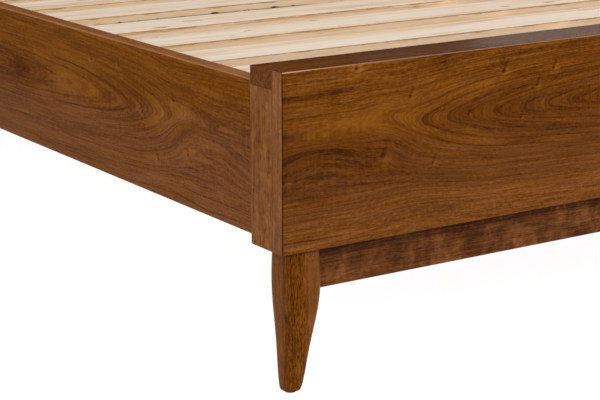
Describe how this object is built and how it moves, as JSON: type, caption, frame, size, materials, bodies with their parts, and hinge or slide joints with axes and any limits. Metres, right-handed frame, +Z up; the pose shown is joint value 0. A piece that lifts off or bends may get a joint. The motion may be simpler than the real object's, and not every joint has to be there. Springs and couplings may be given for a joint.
{
  "type": "sleigh bed",
  "caption": "Low wooden bed frame with a flat slab footboard, tapered legs, a slatted deck between deep side rails and a swept-back rolled headboard.",
  "frame": {"origin": "centre of the bed's bounding box, on the floor", "axes": "+X to the right seen from the foot, +Y from the foot to the head, +Z up"},
  "size_m": [1.594, 2.3942, 1.01],
  "materials": {
    "walnut_veneer": "satin lacquered walnut-stained veneer with cathedral grain",
    "walnut_solid": "satin lacquered walnut-stained solid timber",
    "walnut_leg": "satin lacquered walnut-stained timber with open flecks",
    "walnut_stained_rail": "stained and lightly lacquered",
    "pine_slat": "bare planed softwood",
    "pine_frame": "bare planed softwood",
    "beech": "bare turned hardwood",
    "felt": "pressed felt",
    "nylon": "moulded",
    "brass": "turned",
    "zinc_plate": "zinc plated",
    "zinc_fastener": "zinc plated"
  },
  "bodies": {
    "bed_frame": {"beam_bracket_foot": "zinc_plate", "beam_bracket_head": "zinc_plate", "bracket_screws": "zinc_fastener", "centre_beam": "pine_frame", "centre_leg_1": "pine_frame", "centre_leg_2": "pine_frame", "centre_leg_bolts": "zinc_fastener", "dowels": "beech", "foot_apron": "walnut_solid", "foot_bottom_rail": "walnut_stained_rail", "foot_cap_rail": "walnut_solid", "foot_inner_rail": "walnut_stained_rail", "foot_leg_left": "walnut_leg", "foot_leg_right": "walnut_leg", "foot_panel": "walnut_veneer", "foot_panel_edge_left": "walnut_solid", "foot_panel_edge_right": "walnut_solid", "foot_post_left": "walnut_solid", "foot_post_right": "walnut_solid", "head_apron": "walnut_solid", "head_bottom_rail": "walnut_stained_rail", "head_cap_rail": "walnut_solid", "head_leg_left": "walnut_leg", "head_leg_right": "walnut_leg", "head_lower_rail": "walnut_stained_rail", "head_panel": "walnut_veneer", "head_post_left": "walnut_solid", "head_post_right": "walnut_solid", "ledger_screws": "zinc_fastener", "leg_bolts": "zinc_fastener", "leg_glides": "felt", "leveller_inserts": "brass", "post_slot_plates": "zinc_plate", "rail_hook_plates": "zinc_plate", "rail_lipping_left": "walnut_solid", "rail_lipping_right": "walnut_solid", "rail_plate_screws": "zinc_fastener", "side_rail_left": "walnut_veneer", "side_rail_right": "walnut_veneer", "slat_01": "pine_slat", "slat_02": "pine_slat", "slat_03": "pine_slat", "slat_04": "pine_slat", "slat_05": "pine_slat", "slat_06": "pine_slat", "slat_07": "pine_slat", "slat_08": "pine_slat", "slat_09": "pine_slat", "slat_10": "pine_slat", "slat_11": "pine_slat", "slat_12": "pine_slat", "slat_13": "pine_slat", "slat_14": "pine_slat", "slat_ledger_left": "pine_frame", "slat_ledger_right": "pine_frame", "slat_screws": "zinc_fastener"},
    "pad_1": {"leveller_pad_1": "nylon"},
    "stem_1": {"leveller_stem_1": "zinc_fastener"},
    "pad_2": {"leveller_pad_2": "nylon"},
    "stem_2": {"leveller_stem_2": "zinc_fastener"}
  },
  "joints": [
    {"name": "leveller_1_lift", "type": "slide", "parent": "bed_frame", "child": "pad_1", "axis": [0, 0, 1], "range_m": [-0.0121, 0]},
    {"name": "leveller_1_turn", "type": "hinge", "parent": "pad_1", "child": "stem_1", "pos_m": [0, -0.45307, 0.008], "axis": [0, 0, 1], "range_deg": [-3456, 0]},
    {"name": "leveller_2_lift", "type": "slide", "parent": "bed_frame", "child": "pad_2", "axis": [0, 0, 1], "range_m": [-0.0121, 0]},
    {"name": "leveller_2_turn", "type": "hinge", "parent": "pad_2", "child": "stem_2", "pos_m": [0, 0.24693, 0.008], "axis": [0, 0, 1], "range_deg": [-3456, 0]}
  ],
  "couplings": [
    {"joint": "leveller_1_lift", "follows": "leveller_1_turn", "m_per_rad": 0.00019894},
    {"joint": "leveller_2_lift", "follows": "leveller_2_turn", "m_per_rad": 0.00019894}
  ]
}
